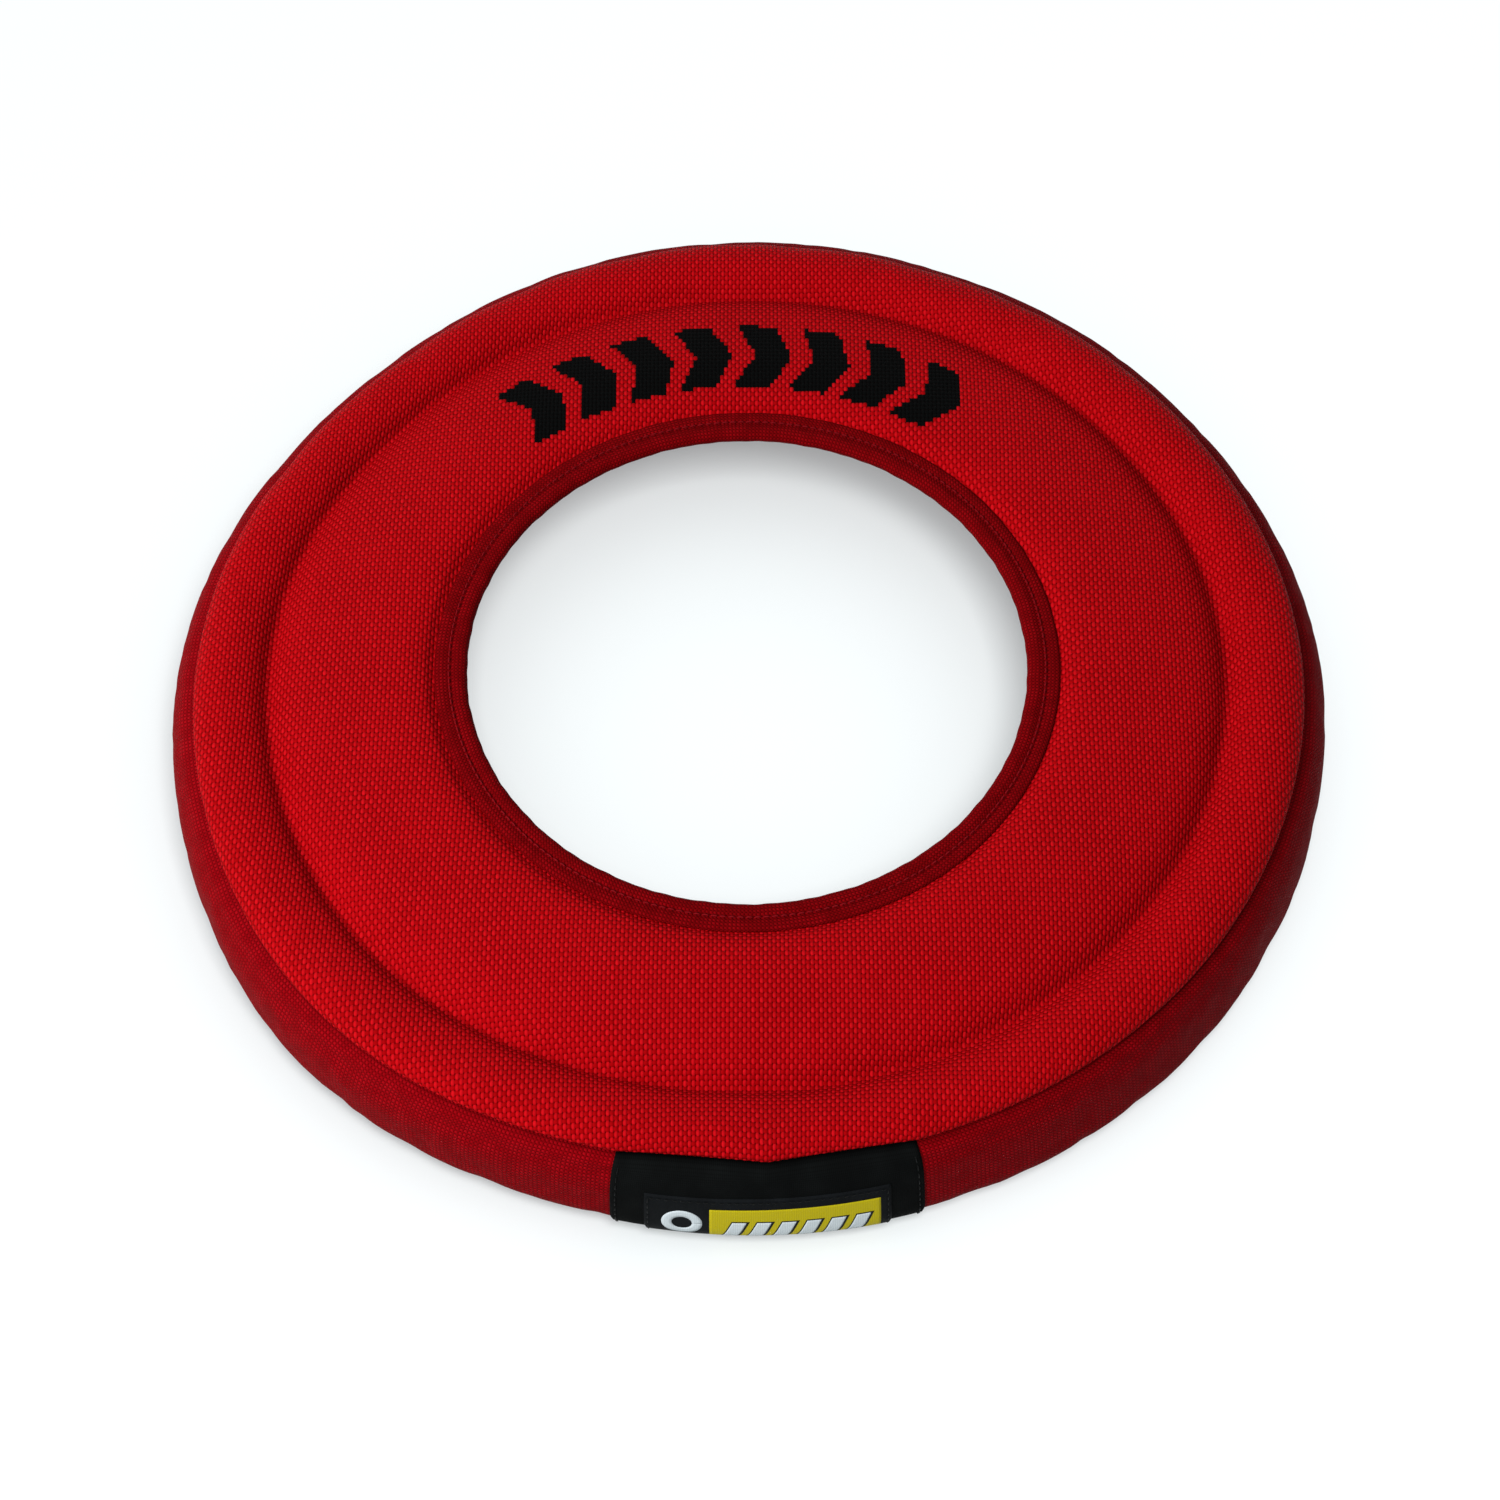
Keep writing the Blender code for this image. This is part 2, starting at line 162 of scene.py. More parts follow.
WHITE = (1.0, 1.0, 1.0)
RED_GLOSS = (1.0, 0.05, 0.07)      # tint of the gloss on red nylon
BLACK_GLOSS = (0.03, 0.03, 0.03)   # and on the print
WEFT_DARK, WEFT_LIGHT = (0.125, 0.0002, 0.0006), (0.148, 0.0003, 0.0009)
# The warp is painted lighter than the weft, as a painted highlight on the warp floats; its dark and
# light are random tone
HIGHLIT_WARP_DARK, HIGHLIT_WARP_LIGHT = (0.200, 0.0012, 0.0026), (0.260, 0.0022, 0.0044)
# The second colour is painted shade for the gaps between the threads
FIBRE_SHADE, COVER_GAP_PAINTED_SHADE = (0.110, 0.0002, 0.0006), (0.055, 0.0000, 0.0002)
GUSSET_LIGHT, GUSSET_DARK = (0.200, 0.0016, 0.0040), (0.125, 0.0006, 0.0018)
BINDING_LIGHT, BINDING_DARK = (0.155, 0.0011, 0.0024), (0.088, 0.0005, 0.0011)
WALL_LIGHT, WALL_DARK = (0.190, 0.0014, 0.0034), (0.130, 0.0006, 0.0018)
LINING_LIGHT, LINING_DARK = (0.170, 0.0014, 0.0034), (0.120, 0.0006, 0.0018)
INK, INK_IN_GAPS = (0.0009, 0.0010, 0.0010), (0.001, 0.0004, 0.0004)
RED_THREAD, BLACK_THREAD = (0.130, 0.003, 0.005), (0.004, 0.0045, 0.0045)
GREY_GLOSS = (0.3, 0.3, 0.3)       # tint of the gloss on black thread
PATCH_BLACK, LABEL_BLACK = (0.0008, 0.0010, 0.0010), (0.0016, 0.0020, 0.0024)
LABEL_YELLOW, LABEL_WHITE = (0.30, 0.25, 0.002), (0.36, 0.40, 0.42)
LABEL_OUTLINE = (0.004, 0.005, 0.004)


# --- Soft shape of the ring ---

def angle_gap(angles, middle):
    """Signed difference between angles in radians, from -pi to pi."""
    return (angles - middle + math.pi) % (2 * math.pi) - math.pi


def fade(values, low, high):
    """0 below low, 1 above high, smooth between."""
    share = np.clip((values - low) / (high - low), 0.0, 1.0)
    return share * share * (3 - 2 * share)


def soft_shape(points):
    """Move points of the perfect ring to where the handled, slightly uneven ring has them."""
    points = np.array(points, float)
    radius = np.hypot(points[..., 0], points[..., 1])
    angle = np.arctan2(points[..., 1], points[..., 0])
    height = points[..., 2].copy()
    share = np.clip((radius - HOLE) / (OUTER - HOLE), 0.0, 1.0) ** 1.5
    at_top = fade(height, 23 * MM, 27 * MM) * fade(radius, GROOVE, SEAM)
    push = np.zeros_like(radius)
    for middle, half_width, depth in DENTS:
        gap = angle_gap(angle, math.radians(middle)) / math.radians(half_width)
        push += depth * np.exp(-gap ** 2) * share
    middle, half_width, depth = LOW_BULGE
    gap = angle_gap(angle, math.radians(middle)) / math.radians(half_width)
    push += depth * np.exp(-gap ** 2) * share * (1 - fade(height, 3 * MM, 20 * MM))
    for middle in PINCHES:
        gap = angle_gap(angle, math.radians(middle)) / math.radians(PINCH_HALF_WIDTH)
        push += PINCH_DEPTH * np.exp(-gap ** 2) * at_top
    side = np.minimum(np.abs(angle_gap(angle, PATCH_MIDDLE)) * OUTER / PATCH_REACH, 1.0)
    push += PATCH_PULL * (side ** 2 - side) * at_top
    scale = 1 + push / np.maximum(radius, HOLE)
    points[..., 0] *= scale * (1 - HOLE_OVAL * (1 - fade(radius, HOLE, HOLE + 25 * MM)))
    points[..., 1] *= scale
    points[..., 1] -= TOP_SHIFT * at_top
    lift = 0.25 * MM * np.sin(3 * angle + 0.6) + 0.15 * MM * np.sin(7 * angle + 2.1)
    points[..., 2] += lift * share * fade(height, 0.0, CROWN_TOP_Z)
    return points


def smooth_line(points, steps):
    """Rounded line through a few points, as evenly spaced points and their lengths along it."""
    points = np.array(points, float)
    padded = np.vstack([2 * points[0] - points[1], points, 2 * points[-1] - points[-2]])
    dense = []
    for index in range(len(points) - 1):
        a, b, c, d = padded[index:index + 4]
        t = np.linspace(0, 1, 24, endpoint=False)[:, None]
        square = (2 * a - 5 * b + 4 * c - d) * t ** 2
        cube = (3 * b - a - 3 * c + d) * t ** 3
        dense.append(0.5 * (2 * b + (c - a) * t + square + cube))
    return even_rows(np.vstack(dense + [points[-1:]]), steps)


def even_rows(line, rows):
    """The line as evenly spaced points, and the length along it at each."""
    along = np.concatenate([[0], np.cumsum(np.linalg.norm(np.diff(line, axis=0), axis=1))])
    places = np.linspace(0, along[-1], rows)
    return np.stack([np.interp(places, along, line[:, k]) for k in range(2)], axis=1), places


# --- Meshes ---

def make_piece(name, points, faces, material, cloth):
    """Smooth mesh that rides on the ring's body. cloth is where each point is on the cloth."""
    mesh = bpy.data.meshes.new(name)
    mesh.from_pydata(points.reshape(-1, 3).tolist(), [], faces)
    mesh.update()
    mesh.shade_smooth()
    attribute = mesh.attributes.new("cloth", "FLOAT_VECTOR", "POINT")
    attribute.data.foreach_set("vector", cloth.astype(np.float32).reshape(-1))
    mesh.materials.append(material)
    item = bpy.data.objects.new(name, mesh)
    bpy.context.scene.collection.objects.link(item)
    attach(item, BODY)
    return item


def grid_faces(rows, columns):
    """Quads of a grid of points, counted row by row."""
    index = np.arange(rows * columns).reshape(rows, columns)
    corners = [index[:-1, :-1], index[:-1, 1:], index[1:, 1:], index[1:, :-1]]
    return np.stack(corners, axis=-1).reshape(-1, 4)


def turned(line, angles):
    """Points of a line of (radius, height) at each of the angles: rows along the line."""
    radius, height = line[:, 0][:, None], line[:, 1][:, None]
    return np.stack([radius * np.cos(angles), radius * np.sin(angles),
                     height + 0 * angles[None, :]], axis=-1)


def closed_sheet(name, front, back, flat, material):
    """A closed sheet from the grids of points of its two faces; flat is where they are on it."""
    rows, columns = front.shape[:2]
    total = rows * columns
    faces = grid_faces(rows, columns)
    index = np.arange(total).reshape(rows, columns)
    loop = np.concatenate([index[0, :-1], index[:-1, -1], index[-1, :0:-1], index[:0:-1, 0]])
    following = np.roll(loop, -1)
    rim = np.stack([loop, loop + total, following + total, following], axis=1)
    faces = np.concatenate([faces, faces[:, ::-1] + total, rim])
    points = soft_shape(np.concatenate([front.reshape(-1, 3), back.reshape(-1, 3)]))
    return make_piece(name, points, faces.tolist(), material, np.concatenate([flat, flat]))


def ring_angles(columns):
    """Angles round the ring, from its back and round to its back again."""
    return np.linspace(0.5 * math.pi, 2.5 * math.pi, columns + 1)


def ring_panel(name, profile, columns, material, move=None):
    """Cloth turned round the z axis, joined edge to edge at the back of the ring."""
    line, along = profile
    angles = ring_angles(columns)
    points = turned(line, angles)
    cloth = np.zeros_like(points)
    cloth[..., 0] = angles[None, :] * line[:, 0].mean()
    cloth[..., 1] = along[:, None]
    if move is not None:
        points = move(points, angles, along)
    points = soft_shape(points)
    return make_piece(name, points, grid_faces(len(line), columns + 1).tolist(), material, cloth)


# --- Materials ---

class Shader:
    """Short ways to add nodes to one material."""

    def __init__(self, name):
        self.material = bpy.data.materials.new(name)
        self.material.use_nodes = True
        self.tree = self.material.node_tree
        self.surface = self.tree.nodes["Principled BSDF"]

    def node(self, kind, **settings):
        node = self.tree.nodes.new(kind)
        for key, value in settings.items():
            setattr(node, key, value)
        return node

    def put(self, value, socket):
        """Link a socket, or set a number or a tuple, on an input."""
        if isinstance(value, bpy.types.NodeSocket):
            self.tree.links.new(value, socket)
        else:
            socket.default_value = value

    def math(self, operation, *values):
        node = self.node("ShaderNodeMath", operation=operation)
        for value, socket in zip(values, node.inputs):
            self.put(value, socket)
        return node.outputs[0]

    def step(self, value, low, high):
        """0 below low, 1 above high, smooth between."""
        node = self.node("ShaderNodeMapRange", interpolation_type="SMOOTHSTEP")
        for key, number in (("Value", value), ("From Min", low), ("From Max", high)):
            self.put(number, node.inputs[key])
        return node.outputs[0]

    def mix(self, share, first, second):
        node = self.node("ShaderNodeMix", data_type="RGBA")
        self.put(share, node.inputs[0])
        for value, socket in ((first, node.inputs[6]), (second, node.inputs[7])):
            self.put((*value, 1.0) if isinstance(value, tuple) else value, socket)
        return node.outputs[2]

    def noise(self, vector, scale, detail):
        node = self.node("ShaderNodeTexNoise")
        self.put(vector, node.inputs["Vector"])
        node.inputs["Scale"].default_value = scale
        node.inputs["Detail"].default_value = detail
        return node.outputs["Fac"]

    def place(self):
        """Where on its flat cloth each point is: the vector, and its two parts."""
        vector = self.node("ShaderNodeAttribute", attribute_name="cloth").outputs["Vector"]
        parts = self.node("ShaderNodeSeparateXYZ")
        self.put(vector, parts.inputs[0])
        return vector, parts.outputs[0], parts.outputs[1]

    def join(self, x, y):
        node = self.node("ShaderNodeCombineXYZ")
        for value, socket in zip((x, y), node.inputs):
            self.put(value, socket)
        return node.outputs[0]

    def bump(self, height, distance):
        node = self.node("ShaderNodeBump")
        node.inputs["Strength"].default_value = 1.0
        node.inputs["Distance"].default_value = distance
        self.put(height, node.inputs["Height"])
        self.put(node.outputs[0], self.surface.inputs["Normal"])

    def finish(self, colour, roughness, specular, tint=WHITE):
        """Set the surface and return the material."""
        inputs = self.surface.inputs
        self.put((*colour, 1.0) if isinstance(colour, tuple) else colour, inputs["Base Color"])
        inputs["Roughness"].default_value = roughness
        inputs["Specular IOR Level"].default_value = specular
        self.put((*tint, 1.0) if isinstance(tint, tuple) else tint, inputs["Specular Tint"])
        return self.material


def plain_weave(shader, across, along):
    """Height, warp mask, gap and cell of a plain weave. across and along count its threads.

    Every thread is a rounded bar that rises over one crossing and dips under the next.
    """
    cell_x, cell_y = shader.math("FLOOR", across), shader.math("FLOOR", along)
    x = shader.math("SUBTRACT", shader.math("SUBTRACT", across, cell_x), 0.5)
    y = shader.math("SUBTRACT", shader.math("SUBTRACT", along, cell_y), 0.5)
    parity = shader.math("PINGPONG", shader.math("ADD", cell_x, cell_y), 1.0)
    sign = shader.math("MULTIPLY_ADD", parity, 2.0, -1.0)

    def bar(side, run, rise):
        squared = shader.math("MULTIPLY", side, side)
        round_top = shader.math("SQRT", shader.math("MAXIMUM", shader.math(
            "MULTIPLY_ADD", squared, -4.4, 1.0), 0.0))
        wave = shader.math("COSINE", shader.math("MULTIPLY", run, math.pi))
        return shader.math("ADD", round_top, shader.math("MULTIPLY", wave, rise))

    warp = bar(x, y, shader.math("MULTIPLY", sign, THREAD_RISE))
    weft = bar(y, x, shader.math("MULTIPLY", sign, -THREAD_RISE))
    height = shader.math("SMOOTH_MAX", warp, weft, 0.25)
    mask = shader.step(shader.math("SUBTRACT", warp, weft), -0.1, 0.1)
    gap = shader.step(height, 1.15, 0.35)
    return height, mask, gap, (cell_x, cell_y)


def chevron_ink(shader, cells):
    """Where the row of printed chevrons is, stepped along the threads as ink on a weave is."""
    x = shader.math("MULTIPLY_ADD", shader.math("ADD", cells[0], 0.5), WARP_PITCH, MARK_OFFSET)
    y = shader.math("MULTIPLY_ADD", shader.math("ADD", cells[1], 0.5), WEFT_PITCH, MARK_OFFSET)
    radius = shader.math("SQRT", shader.math(
        "ADD", shader.math("MULTIPLY", x, x), shader.math("MULTIPLY", y, y)))
    turn = shader.math("SUBTRACT", shader.math("ARCTAN2", y, x), MARK_MIDDLE)
    count = shader.math("DIVIDE", turn, MARK_PITCH)
    part = shader.math("SUBTRACT", shader.math("FRACT", shader.math("ADD", count, 10.0)), 0.5)
    sideways = shader.math("MULTIPLY", shader.math("MULTIPLY", part, MARK_PITCH), radius)
    up = shader.math("ABSOLUTE", shader.math("SUBTRACT", radius, MARK_RADIUS))
    slanted = shader.math("ABSOLUTE", shader.math(
        "ADD", sideways, shader.math("MULTIPLY_ADD", up, -0.5, MARK_SHIFT)))
    inside = shader.math("LESS_THAN", slanted, MARK_HALF_STROKE)
    in_band = shader.math("LESS_THAN", up, MARK_HALF_HEIGHT)
    in_arc = shader.math("LESS_THAN", shader.math("ABSOLUTE", count), MARK_COUNT / 2)
    return shader.math("MULTIPLY", inside, shader.math("MULTIPLY", in_band, in_arc))


def coarse_cloth(name, printed):
    """Coarse red nylon in a plain weave on the straight grain."""
    shader = Shader(name)
    place, x, y = shader.place()
    across = shader.math("DIVIDE", x, WARP_PITCH)
    along = shader.math("DIVIDE", y, WEFT_PITCH)
    height, warp, gap, cells = plain_weave(shader, across, along)
    fibres = shader.noise(shader.join(shader.math("MULTIPLY", across, 6.0), along), 3.0, 3.0)
    patchy = shader.noise(place, 55.0, 3.0)
    worn = shader.noise(shader.join(cells[0], cells[1]), 0.83, 1.0)
    weft_red = shader.mix(shader.step(patchy, 0.3, 0.7), WEFT_DARK, WEFT_LIGHT)
    highlit_warp_red = shader.mix(shader.step(worn, 0.25, 0.75), HIGHLIT_WARP_DARK, HIGHLIT_WARP_LIGHT)
    # Warp floats take the lighter warp colour: painted highlight
    thread = shader.mix(shader.math("MULTIPLY", warp, 0.9), weft_red, highlit_warp_red)
    thread = shader.mix(shader.math("MULTIPLY", fibres, 0.25), thread, FIBRE_SHADE)
    # Painted shade in the gaps between the threads
    colour = shader.mix(gap, thread, COVER_GAP_PAINTED_SHADE)
    tint = RED_GLOSS
    if printed:
        inked = chevron_ink(shader, cells)
        colour = shader.mix(inked, colour, shader.mix(gap, INK, INK_IN_GAPS))
        tint = shader.mix(inked, RED_GLOSS, BLACK_GLOSS)
    height = shader.math("MULTIPLY_ADD", fibres, 0.12, height)
    shader.bump(height, 0.30 * MM)
    return shader.finish(colour, 0.65, specular=0.05, tint=tint)


def fine_cloth(name, light, dark, bias, pitch=FINE_PITCH):
    """Finer cloth for gusset, binding, wall and lining; bias turns its threads to 45 degrees."""
    shader = Shader(name)
    place, x, y = shader.place()
    if bias:
        reach = pitch * math.sqrt(2)
        across = shader.math("DIVIDE", shader.math("ADD", x, y), reach)
        along = shader.math("DIVIDE", shader.math("SUBTRACT", x, y), reach)
    else:
        across = shader.math("DIVIDE", x, pitch)
        along = shader.math("DIVIDE", y, pitch)
    height, warp, gap, _ = plain_weave(shader, across, along)
    patchy = shader.noise(place, 260.0, 4.0)
    thread = shader.mix(shader.step(patchy, 0.35, 0.65), dark, light)
    thread = shader.mix(shader.math("MULTIPLY", warp, 0.5), tuple(0.6 * c for c in dark), thread)
    # Painted shade in the gaps between the threads
    colour = shader.mix(gap, thread, tuple(0.25 * c for c in dark))
    shader.bump(shader.math("MULTIPLY_ADD", patchy, 1.2, height), 0.16 * MM)
    return shader.finish(colour, 0.8, specular=0.04, tint=RED_GLOSS)


def thread_material(name, colour, gloss):
    """Twisted sewing thread."""
    shader = Shader(name)
    _, x, y = shader.place()
    twist = shader.math("SINE", shader.math("MULTIPLY", shader.math("ADD", x, y), 2 * math.pi))
    # Painted shade in the grooves of the twist
    colour_with_painted_shade = shader.mix(shader.step(twist, -1.0, 1.0), tuple(0.6 * c for c in colour), colour)
    shader.bump(twist, 0.05 * MM)
    return shader.finish(colour_with_painted_shade, 0.45, specular=0.15, tint=gloss)


def foam_material(name):
    """Pale closed-cell foam with its fine bubbles."""
    shader = Shader(name)
    cells = shader.node("ShaderNodeTexVoronoi")
    cells.inputs["Scale"].default_value = 900.0
    place = shader.node("ShaderNodeTexCoord").outputs["Object"]
    shader.put(place, cells.inputs["Vector"])
    colour = shader.mix(cells.outputs["Distance"], (0.60, 0.60, 0.58), (0.80, 0.80, 0.78))
    shader.bump(cells.outputs["Distance"], 0.2 * MM)
    return shader.finish(colour, 0.9, specular=0.2)


def black_cloth(name, colour, pitch, roughness):
    """Matte black cloth of the patch and the ground of the label."""
    shader = Shader(name)
    place, x, y = shader.place()
    across = shader.math("DIVIDE", x, pitch)
    along = shader.math("DIVIDE", y, pitch)
    height, _, gap, _ = plain_weave(shader, across, along)
    worn = shader.noise(place, 140.0, 5.0)
    thread = shader.mix(shader.step(worn, 0.35, 0.75), colour, tuple(1.9 * c for c in colour))
    # Painted shade in the gaps between the threads
    colour_with_painted_shade = shader.mix(gap, thread, tuple(0.4 * c for c in colour))
    shader.bump(height, 0.06 * MM)
    return shader.finish(colour_with_painted_shade, roughness, specular=0.03)


def woven_colour(name, colour):
    """One colour of the label's satin weave."""
    shader = Shader(name)
    _, x, y = shader.place()
    rows = shader.math("SINE", shader.math("MULTIPLY", y, 2 * math.pi / (0.32 * MM)))
    fine = shader.math("SINE", shader.math("MULTIPLY", x, 2 * math.pi / (0.4 * MM)))
    height = shader.math("MULTIPLY_ADD", fine, 0.4, rows)
    # Painted shade between the rows of the weave
    colour_with_painted_shade = shader.mix(shader.step(height, -1.2, 1.0), tuple(0.6 * c for c in colour), colour)
    shader.bump(height, 0.03 * MM)
    return shader.finish(colour_with_painted_shade, 0.6, specular=0.05)


# --- Simulated skin of the padded rim ---

def skin_strips():
    """Lines of the rim's two panels: from the groove to the seam, and on to the base."""
    line = cover_profile()[0]
    rim = line[(line[:, 0] >= GROOVE) & (np.arange(len(line)) < np.argmax(line[:, 0]))]
    gusset = gusset_profile()[0]
    gusset = gusset[gusset[:, 0] >= SEAM][::-1]
    return [even_rows(part, SKIN_ROWS)[0] for part in (rim, gusset)]


def simulated(start, faces, held_points):
    """Where the cloth's points are after it has swelled under pressure, held at some of them."""
    scene = bpy.context.scene
    mesh = bpy.data.meshes.new("skin")
    mesh.from_pydata(start.reshape(-1, 3).tolist(), [], faces.tolist())
    item = bpy.data.objects.new("skin", mesh)
    scene.collection.objects.link(item)
    held = item.vertex_groups.new(name="held")
    held.add(held_points, 1.0, "REPLACE")
    cloth = item.modifiers.new("cloth", "CLOTH")
    cloth.settings.vertex_group_mass = "held"
    cloth.settings.quality = 6
    cloth.settings.tension_stiffness = 25
    cloth.settings.compression_stiffness = 25
    cloth.settings.bending_stiffness = 0.6
    cloth.settings.use_pressure = True
    cloth.settings.uniform_pressure_force = 3.0
    cloth.settings.shrink_min = -SKIN_SPARE
    cloth.settings.effector_weights.gravity = 0.0
    cloth.point_cache.frame_start = 1
    cloth.point_cache.frame_end = SKIN_FRAMES
    for frame_number in range(1, SKIN_FRAMES + 1):
        scene.frame_set(frame_number)
    moved = item.evaluated_get(bpy.context.evaluated_depsgraph_get()).to_mesh()
    points = np.empty(len(moved.vertices) * 3, np.float32)
    moved.vertices.foreach_get("co", points)
    scene.frame_set(1)
    bpy.data.objects.remove(item)
    return points.reshape(start.shape)


def swollen_skin():
    """How far the cloth of the rim stands out, by rows from the groove to the base and by angle.

    The cloth is a little too large for the rim, so pressure makes it swell and pucker between
    its three seams, which hold it. Only the pattern of the puckers is kept: the mean of each
    row is taken out, and their usual depth is set.
    """
    rim, gusset = skin_strips()
    line = np.vstack([rim, gusset[1:]])
    angles = np.linspace(0, 2 * math.pi, SKIN_COLUMNS, endpoint=False)
    flat = turned(line, angles)
    rng = np.random.default_rng(SEED + 3)
    start = flat.copy()
    start[1:-1] += rng.normal(0, SKIN_NOISE, flat[1:-1].shape)
    index = np.arange(len(line) * SKIN_COLUMNS).reshape(len(line), SKIN_COLUMNS)
    around = np.roll(index, -1, axis=1)
    faces = np.stack([index[:-1], index[1:], around[1:], around[:-1]], axis=-1).reshape(-1, 4)
    seams = index[[0, len(rim) - 1, -1]].reshape(-1).tolist()
    ahead = np.gradient(line, axis=0)
    ahead /= np.linalg.norm(ahead, axis=1)[:, None]
    out = turned(np.stack([-ahead[:, 1], ahead[:, 0]], axis=1), angles)
    swell = np.sum((simulated(start, faces, seams) - flat) * out, axis=-1)
    swell -= swell.mean(axis=1, keepdims=True)
    panels = [swell[:len(rim)], swell[len(rim) - 1:]]
    return [depth * np.clip(panel / panel.std(), -PUCKER_LIMIT, PUCKER_LIMIT)
            for panel, depth in zip(panels, (RIM_PUCKERS, GUSSET_PUCKERS))]


def skin_at(swell, row_share, angle):
    """Swelling at shares of the way along a panel and at angles."""
    rows, columns = swell.shape
    row = np.clip(row_share, 0, 1) * (rows - 1)
    column = (angle % (2 * math.pi)) / (2 * math.pi) * columns
    row_0, column_0 = np.minimum(row.astype(int), rows - 2), column.astype(int) % columns
    a, b = row - row_0, column - np.floor(column)
    column_1 = (column_0 + 1) % columns
    near = swell[row_0, column_0] * (1 - b) + swell[row_0, column_1] * b
    far = swell[row_0 + 1, column_0] * (1 - b) + swell[row_0 + 1, column_1] * b
    inside = (row_share > 0) & (row_share < 1)
    return (near * (1 - a) + far * a) * inside


# --- Top cover ---

def cover_profile():
    """Upper surface of the top cover, from under the binding to inside the top seam."""
    edge = EDGE_Z + 1.0 * MM
    return smooth_line([
        (HOLE + 2.4 * MM, edge - 0.2 * MM),
        (TAPE_EDGE - 2.0 * MM, edge - 0.15 * MM),
        (TAPE_EDGE, edge - 0.45 * MM),
        (TAPE_EDGE + 0.9 * MM, edge - 0.35 * MM),
        (TAPE_EDGE + 1.8 * MM, edge + 0.2 * MM),
        (TAPE_EDGE + 2.9 * MM, edge + 1.05 * MM),
        (TAPE_EDGE + 4.3 * MM, WEB_TOP_Z - 0.85 * MM),
        (TAPE_EDGE + 6.4 * MM, WEB_TOP_Z - 0.35 * MM),
        (HOLE + 17 * MM, WEB_TOP_Z - 0.05 * MM),
        (HOLE + 23 * MM, WEB_TOP_Z),
        (HOLE + 31 * MM, WEB_TOP_Z - 0.6 * MM),
        (GROOVE - 9.0 * MM, WEB_TOP_Z - 1.7 * MM),
        (GROOVE - 5.5 * MM, WEB_TOP_Z - 2.7 * MM),
        (GROOVE - 3.0 * MM, WEB_TOP_Z - 4.0 * MM),
        (GROOVE - 1.0 * MM, WEB_TOP_Z - 5.6 * MM),
        (GROOVE, WEB_TOP_Z - 6.0 * MM),
        (GROOVE + 1.0 * MM, WEB_TOP_Z - 5.7 * MM),
        (GROOVE + 2.8 * MM, CROWN_TOP_Z - 2.5 * MM),
        (GROOVE + 5.0 * MM, CROWN_TOP_Z - 1.2 * MM),
        (GROOVE + 8.0 * MM, CROWN_TOP_Z - 0.3 * MM),
        (GROOVE + 11.0 * MM, CROWN_TOP_Z),
        (SEAM - 3.4 * MM, CROWN_TOP_Z - 0.5 * MM),
        (SEAM - 1.2 * MM, CROWN_TOP_Z - 1.5 * MM),
        (SEAM + 0.1 * MM, CROWN_TOP_Z - 2.8 * MM),
        (SEAM - 0.3 * MM, TOP_SEAM_Z + 0.8 * MM),
        (SEAM - 1.8 * MM, TOP_SEAM_Z + 0.3 * MM),
    ], 400)


def top_cover(material, swell):
    """The woven top panel: a vertex at each thread crossing and halfway between."""
    line, along = cover_profile()
    reach = line[0, 0] + along
    step_x, step_y = WARP_PITCH / 2, WEFT_PITCH / 2
    count_x, count_y = int(reach[-1] / step_x) + 2, int(reach[-1] / step_y) + 2
    across = np.arange(-count_x, count_x + 1)
    down = np.arange(-count_y, count_y + 1)
    i, j = np.meshgrid(across, down)
    x, y = i * step_x, j * step_y
    far = np.hypot(x, y)
    held = np.clip(far, reach[0], reach[-1])
    angle = np.arctan2(y, x)
    radius = np.interp(held, reach, line[:, 0])
    height = np.interp(held, reach, line[:, 1])
    slope = np.gradient(line, axis=0)
    slope /= np.linalg.norm(slope, axis=1)[:, None]
    out_r = np.interp(held, reach, -slope[:, 1])
    out_z = np.interp(held, reach, slope[:, 0])
    relief = -WEAVE_RELIEF * np.sin(i * math.pi / 2) * np.sin(j * math.pi / 2)
    turn = np.argmax(line[:, 0])
    start = np.interp(GROOVE, line[:turn, 0], reach[:turn])
    end = reach[turn]
    relief += skin_at(swell, (held - start) / (end - start), angle)
    radius = radius + out_r * relief
    height = height + out_z * relief
    points = np.stack([radius * np.cos(angle), radius * np.sin(angle), height], axis=-1)
    inside = (far >= reach[0]) & (far <= reach[-1])
    faces = grid_faces(*i.shape)
    faces = faces[inside.reshape(-1)[faces].any(axis=1)]
    used, faces = np.unique(faces, return_inverse=True)
    cloth = np.stack([x, y, 0 * x], axis=-1).reshape(-1, 3)[used]
    points = soft_shape(points.reshape(-1, 3)[used])
    return make_piece("top_cover_cloth", points, faces.reshape(-1, 4).tolist(), material, cloth)


# --- Edge gusset ---

def gusset_profile():
    """Outer surface of the gusset, from inside the base seam to inside the top seam."""
    low, high = BASE_SEAM_Z + 0.8 * MM, TOP_SEAM_Z - 0.6 * MM
    return smooth_line([
        (SEAM - 2.2 * MM, low - 0.9 * MM),
        (SEAM + 0.2 * MM, low - 0.7 * MM),
        (SEAM + 3.4 * MM, low + 0.2 * MM),
        (OUTER - 1.4 * MM, low + 2.2 * MM),
        (OUTER - 0.25 * MM, low + 5.2 * MM),
        (OUTER, low + 9.0 * MM),
        (OUTER - 0.15 * MM, high - 9.0 * MM),
        (OUTER - 0.9 * MM, high - 5.4 * MM),
        (OUTER - 2.2 * MM, high - 2.8 * MM),
        (SEAM + 2.8 * MM, high - 1.0 * MM),
        (SEAM + 0.8 * MM, high),
        (SEAM - 0.6 * MM, high + 0.35 * MM),
        (SEAM - 2.2 * MM, high + 0.4 * MM),
    ], 60)


